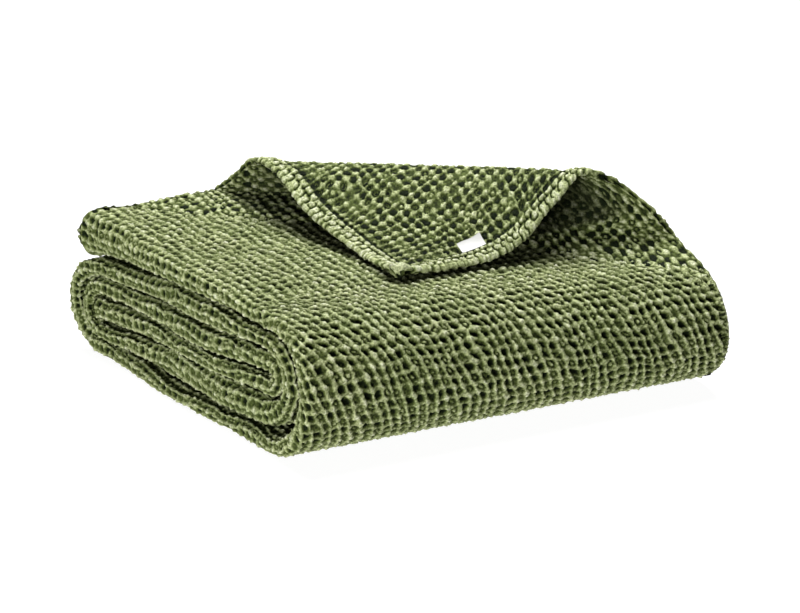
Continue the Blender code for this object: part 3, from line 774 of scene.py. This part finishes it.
def flap_side(name, sign, quads_across, quads_along, weave):
    """One side of the turned ply: its reverse where sign is 1, its face where it is -1. The reverse
    carries the rim that closes the two hemmed edges."""
    reach, corner, tip = flap_corner()
    dx, dy = CELL_ACROSS / quads_across, CELL_ALONG / quads_along
    total, root = flap_stations()[0][-1], FLAP[0].reach + FOLD_CUT
    nx = int((total - root) / reach[0] / dx) + 2
    ny = int((total - root) / reach[1] / dy) + 2
    rim = RIM_STEPS if sign > 0 else 0
    i = np.arange(-rim, nx)[:, None]
    j = np.arange(-rim, ny)[None, :]
    x_flat = corner[0] - np.maximum(i, 0) * dx + 0.0 * j
    y_flat = corner[1] - np.maximum(j, 0) * dy + 0.0 * i
    middle, outward, hx, hy = cloth_place(x_flat, y_flat)
    to_x = unit(middle - cloth_place(x_flat - TO_NEIGHBOUR, y_flat)[0])
    to_y = unit(middle - cloth_place(x_flat, y_flat - TO_NEIGHBOUR)[0])
    tx, ty = np.maximum(-i, 0) / max(rim, 1) + 0.0 * j, np.maximum(-j, 0) / max(rim, 1) + 0.0 * i
    t = np.maximum(tx, ty)
    on_reverse = 1.0 - ease((t - OVER_RIM) / RIM_FADE) if sign > 0 else 0.0
    band, groove, corner_band = (on_reverse * value for value in both_hems(hx, hy, x_flat, y_flat))
    half = PLY / 2.0 + HEM_EXTRA / 2.0 * (1.0 - ease(np.minimum(hx, hy) / HEM_WIDTH - HEM_FULL))
    half = half + HEM_SWELL * band + CORNER_SWELL * corner_band - SEAM_GROOVE * groove
    over = np.maximum(np.hypot(tx, ty), TINY)
    side = to_x * (tx / over)[..., None] + to_y * (ty / over)[..., None]
    angle = pi / 2.0 - pi * t
    around = sign * outward * np.sin(angle)[..., None] + side * np.cos(angle)[..., None]
    base = middle + around * half[..., None]
    x_cloth = STRIP_WIDTH - x_flat - RIM_CLOTH * half * tx
    s_cloth = TOP_END - y_flat - RIM_CLOTH * half * ty
    plain = weave_at(weave, x_cloth, s_cloth)
    gathered = np.where(hx < hy, hem_weave(y_flat, hx), hem_weave(x_flat + TURNED_LOOPS, hy))
    wind = waves(8, x_flat, y_flat, KNOT_SLOT_SIZE)
    lumps = KNOT_LUMP * waves(10, x_flat, y_flat, KNOT_LUMP_SIZE)
    knotted = KNOT_LEVEL + lumps - KNOT_SLOT * np.exp(-(wind / KNOT_SLOT_HALF) ** 2)
    gathered = between(corner_band, gathered, knotted)
    high = between(band, plain, gathered) - groove * STITCH_DARK
    normal = vertex_normals(base, False)
    facing = np.sign((normal * outward * sign)[rim + WELL_INSIDE:, rim + WELL_INSIDE:].sum())
    raised = between(band, plain, HEM_RELIEF * gathered) * (1.0 - GROOVE_FLAT * groove)
    lift = FLAP_PIT_DEPTH * (raised - GROOVE_DROP * groove)
    points = base + facing * normal * (RIDGE_PROUD + lift)[..., None]
    shaded = facing * vertex_normals(points, False)
    quads = grid_quads(*points.shape[:2], False)
    station = (x_flat - tip[0]) * reach[0] + (y_flat - tip[1]) * reach[1]
    open_air = sheltered(station, hx, hy) if sign < 0 else 1.0
    kept = (station.ravel()[quads] > root).any(axis=1)
    quads = quads[kept] if facing > 0 else quads[kept][:, ::-1]
    piece = cloth_piece(name, points, shaded, quads, 1.0 + high, (x_cloth, s_cloth), open_air)


# ---- the label ----
LABEL_STEPS_ALONG = 36
LABEL_STEPS_ACROSS = 14
LABEL_THICK = 0.0006
LABEL_TUCK = 0.0015  # the edge caught in the seam
LABEL_SEAT = 0.0006  # its underside lies this far over the ply there
LABEL_LIFT, LABEL_CURL = 0.0036, 1.6  # how far its free edge stands off, and how it bends up to it
LABEL_NEAR, LABEL_FAR = 0.85, 0.3  # it stands off less at the tip's end
LABEL_RIPPLE, LABEL_RIPPLES = 0.0004, 1.3  # the free edge's waves: how high and how many


def label_piece():
    """The bare woven label, a thin bent plate along the side hem."""
    reach = flap_corner()[0]
    corner_along = flap_stations()[0][-1]
    across = np.linspace(0.0, 1.0, LABEL_STEPS_ACROSS + 1)[None, :]
    down = np.linspace(0.0, 1.0, LABEL_STEPS_ALONG + 1)[:, None]
    inward = HEM_WIDTH - LABEL_TUCK + (LABEL_WIDTH + LABEL_TUCK) * across + 0.0 * down
    from_tip = LABEL_FROM_TIP + LABEL_LENGTH * down + 0.0 * across
    along = corner_along - reach[1] * from_tip - reach[0] * inward
    slide = reach[0] * from_tip - reach[1] * inward
    middle, outward = flap_shape(along, slide)
    lift = LABEL_LIFT * across ** LABEL_CURL * (LABEL_NEAR + LABEL_FAR * down)
    lift = lift + LABEL_RIPPLE * np.sin(2.0 * pi * down * LABEL_RIPPLES) * across
    under = middle + outward * (PLY / 2.0 + LABEL_SEAT + lift)[..., None]
    over = under + outward * LABEL_THICK
    rows, columns = down.shape[0], across.shape[1]
    points = np.concatenate([over.reshape(-1, 3), under.reshape(-1, 3)])
    shift = rows * columns
    top = grid_quads(rows, columns, False)
    bottom = grid_quads(rows, columns, False, first=shift)[:, ::-1]
    border = [(i, 0) for i in range(rows)]
    border += [(rows - 1, j) for j in range(1, columns)]
    border += [(i, columns - 1) for i in range(rows - 2, -1, -1)]
    border += [(0, j) for j in range(columns - 2, 0, -1)]
    ring = np.array([i * columns + j for i, j in border])
    after = np.roll(ring, -1)
    walls = np.stack([ring, after, after + shift, ring + shift], axis=1)
    normal = vertex_normals(over, False)
    if (normal * outward).sum() < 0.0:
        top, bottom, walls = top[:, ::-1], bottom[:, ::-1], walls[:, ::-1]
    quads = np.concatenate([top, bottom, walls[:, ::-1]])
    flat = np.stack([from_tip, inward], axis=-1).reshape(-1, 2)
    piece = placed("label_tape", cloth_mesh("label_tape", points, quads, np.concatenate([flat, flat]), SATIN))
    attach(piece, "root")
    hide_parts("label")


# ---- materials ----
def new_material(name, values):
    """A material with these constants on its shader."""
    made = bpy.data.materials.new(name)
    made.use_nodes = True
    shader = made.node_tree.nodes["Principled BSDF"]
    for socket, value in values.items():
        shader.inputs[socket].default_value = value
    return made, made.node_tree, shader


def node_of(tree, kind, **inputs):
    node = tree.nodes.new(kind)
    for name, value in inputs.items():
        if hasattr(value, "links"):
            tree.links.new(value, node.inputs[name])
        else:
            node.inputs[name].default_value = value
    return node


def value_of(tree, attribute):
    node = tree.nodes.new("ShaderNodeAttribute")
    node.attribute_name = attribute
    return node.outputs["Fac"]


def ramp(tree, factor, stops):
    node = tree.nodes.new("ShaderNodeValToRGB")
    band = node.color_ramp
    while len(band.elements) < len(stops):
        band.elements.new(0.5)
    for element, (place, colour) in zip(band.elements, stops):
        element.position = place
        element.color = (*colour, 1.0)
    tree.links.new(factor, node.inputs["Fac"])
    return node.outputs["Color"]


MIX_SHARE, MIX_FIRST, MIX_SECOND, MIX_COLOUR = 0, 6, 7, 2  # a colour mix's sockets


def multiplied(tree, first, second):
    mix = tree.nodes.new("ShaderNodeMix")
    mix.data_type = "RGBA"
    mix.blend_type = "MULTIPLY"
    mix.inputs[MIX_SHARE].default_value = 1.0
    tree.links.new(first, mix.inputs[MIX_FIRST])
    tree.links.new(second, mix.inputs[MIX_SECOND])
    return mix.outputs[MIX_COLOUR]


# Places along a ramp and the colours there.
COTTON_STOPS = (
    (0.15, (0.004, 0.008, 0.001)),  # the pits: painted shade, near black
    (0.49, (0.066, 0.085, 0.022)),  # their walls: painted shade
    (0.77, (0.286, 0.317, 0.160)),  # the ribs and bars
    (1.00, (0.452, 0.468, 0.338)),  # the crests: lighter where worn, and a painted highlight
)
DYE_STOPS = ((0.30, (0.90, 0.92, 0.86)), (0.70, (1.10, 1.08, 1.10)))  # the dye's broad, faint differences
FLECK_STOPS = ((0.43, (0.50, 0.52, 0.44)), (0.57, (1.18, 1.18, 1.18)))  # the yarn's fine flecks
LIGHT_STOPS = ((0.0, (0.0, 0.0, 0.0)), (1.0, (1.0, 1.0, 1.0)))  # the light that reaches the cloth
PAPER_STOPS = ((0.0, (0.095, 0.095, 0.095)), (1.0, (0.105, 0.105, 0.105)))


def cotton():
    made, tree, shader = new_material("waffle_cotton_weave", {"Roughness": 0.92, "Specular IOR Level": 0.10})
    place = tree.nodes.new("ShaderNodeTexCoord").outputs["Object"]
    broad = node_of(tree, "ShaderNodeTexNoise", Vector=place, Scale=14.0, Detail=3.0)
    yarn = node_of(tree, "ShaderNodeTexNoise", Vector=place, Scale=420.0, Detail=4.0, Roughness=0.7)
    # The ramp on rise paints shade into whatever lies low in the weave and the hems: pits, slots, arcs and
    # grooves alike.
    colour = ramp(tree, value_of(tree, "rise"), COTTON_STOPS)
    for factor, stops in ((broad.outputs["Fac"], DYE_STOPS), (yarn.outputs["Fac"], FLECK_STOPS),
                          (value_of(tree, "open_air"), LIGHT_STOPS)):
        colour = multiplied(tree, colour, ramp(tree, factor, stops))
    tree.links.new(colour, shader.inputs["Base Color"])
    bump = node_of(tree, "ShaderNodeBump", Height=yarn.outputs["Fac"], Strength=1.0, Distance=0.0026)
    tree.links.new(bump.outputs["Normal"], shader.inputs["Normal"])
    return made


def satin():
    made, tree, shader = new_material("label_satin_weave", {
        "Base Color": (0.46, 0.46, 0.45, 1.0), "Roughness": 0.55, "Sheen Weight": 0.2})
    cloth = tree.nodes.new("ShaderNodeUVMap").outputs["UV"]
    threads = node_of(tree, "ShaderNodeTexWave", Vector=cloth, Scale=700.0, Distortion=0.4)
    bump = node_of(tree, "ShaderNodeBump", Height=threads.outputs["Fac"], Strength=0.3, Distance=0.0002)
    tree.links.new(bump.outputs["Normal"], shader.inputs["Normal"])
    return made


COTTON, SATIN = cotton(), satin()


# ---- the blanket ----
SPARSE = 40  # faces that the roll hides keep one column in this many


def inner(parts, right_margin):
    """Which of a section's points lie on these parts, away from the edges."""
    place = PROFILE[:, SHARE] * STRIP_WIDTH
    return np.isin(PROFILE[:, PART], parts) & (place > SEEN_DEPTH) & (place < STRIP_WIDTH - right_margin)


def thinned(parts):
    """Which of a section's points to keep where the roll hides these parts."""
    hidden = inner(parts, RIGHT_MARGIN)
    keep = ~hidden
    keep[np.flatnonzero(hidden)[::SPARSE]] = True
    return keep


halved = thinned([BELOW])  # the underside's outer face keeps every second column
halved[np.flatnonzero(inner([OVER], SEEN_DEPTH))[::2]] = False
OUTSIDE, UNDERSIDE, INSIDE = map(np.flatnonzero, (thinned([BELOW]), halved, thinned([OVER, BELOW])))

HALF_WAY = 0.5 * (FIRST + TOP_LENGTH)
Stretch = namedtuple("Stretch", "name first last quads_in_cell columns")
STRETCHES = (
    Stretch("waffle_top_back", FIRST, HALF_WAY, QUADS_ALONG, OUTSIDE),
    Stretch("waffle_top", HALF_WAY, TOP_LENGTH, QUADS_ALONG, OUTSIDE),
    Stretch("waffle_front_turn", TOP_LENGTH, ENDS[1], QUADS_ALONG, OUTSIDE),
    Stretch("waffle_underside", ENDS[1], ENDS[2], 4, UNDERSIDE),
    Stretch("waffle_back_turn", ENDS[2], ENDS[3], 6, OUTSIDE),
    Stretch("waffle_inner_layers", ENDS[3], ENDS[6], 5, INSIDE),
    Stretch("waffle_core_layers", ENDS[6], ENDS[10], 5, INSIDE),
)
for part in STRETCHES:
    strip_piece(part.name, stretch(part.first, part.last, part.quads_in_cell), part.columns)
end_cap("end_hems", FIRST, END_HEMS, END_REACH)
end_cap("core_hems", ENDS[10], CORE_HEMS, CORE_REACH)
flap_side("turned_corner_reverse", 1.0, QUADS_ACROSS, QUADS_ALONG, BACK)
flap_side("turned_corner_face", -1.0, FACE_QUADS, FACE_QUADS, FOLD)
label_piece()


# ---- floor, light and camera ----
FLOOR_SIZE = 12.0
FLOOR_GLOW = 0.95  # the white paper shines by itself
WORLD_LIGHT = 0.14
Lamp = namedtuple("Lamp", "name place target width height power")
LAMPS = (
    Lamp("key", (0.62, 0.88, 2.6), (0.0, 0.0, 0.05), 1.8, 1.8, 268.0),
    Lamp("fill", (-2.38, -1.55, 0.14), (0.0, 0.0, 0.08), 1.6, 0.24, 122.0),
)


def floor():
    bpy.ops.mesh.primitive_plane_add(size=FLOOR_SIZE, location=(0.0, 0.0, 0.0))
    plane = bpy.context.object
    plane.name = "studio_floor"
    made, tree, shader = new_material("floor_paper", {
        "Roughness": 0.9, "Emission Color": (1.0, 1.0, 1.0, 1.0), "Emission Strength": FLOOR_GLOW})
    grain = node_of(tree, "ShaderNodeTexNoise", Scale=60.0)
    tree.links.new(ramp(tree, grain.outputs["Fac"], PAPER_STOPS), shader.inputs["Base Color"])
    plane.data.materials.append(made)


def area_light(lamp):
    light = bpy.data.lights.new(lamp.name, "AREA")
    light.shape = "RECTANGLE"
    light.size = lamp.width
    light.size_y = lamp.height
    light.energy = lamp.power
    holder = placed(lamp.name, light)
    holder.location = lamp.place
    holder.rotation_euler = (Vector(lamp.target) - Vector(lamp.place)).to_track_quat("-Z", "Y").to_euler()


def studio():
    world = bpy.data.worlds.new("studio")
    world.use_nodes = True
    background = world.node_tree.nodes["Background"]
    background.inputs["Color"].default_value = (1.0, 1.0, 1.0, 1.0)
    background.inputs["Strength"].default_value = WORLD_LIGHT
    bpy.context.scene.world = world
    for lamp in LAMPS:
        area_light(lamp)
    bpy.context.scene.view_settings.view_transform = "Standard"


CAMERA_PLACE = np.array([-1.18272, -2.31925, 0.9865]) - CENTRE
CAMERA_AIM = (0.4662, 0.8298, -0.3069)
LENS, SENSOR = 137.0, 36.0  # in millimetres
FARTHEST = 50.0


def camera():
    seen = bpy.data.cameras.new("camera")
    seen.lens = LENS
    seen.sensor_width = SENSOR
    seen.clip_end = FARTHEST
    holder = placed("camera", seen)
    holder.location = CAMERA_PLACE
    holder.rotation_euler = Vector(CAMERA_AIM).to_track_quat("-Z", "Y").to_euler()
    bpy.context.scene.camera = holder


floor()
studio()
camera()
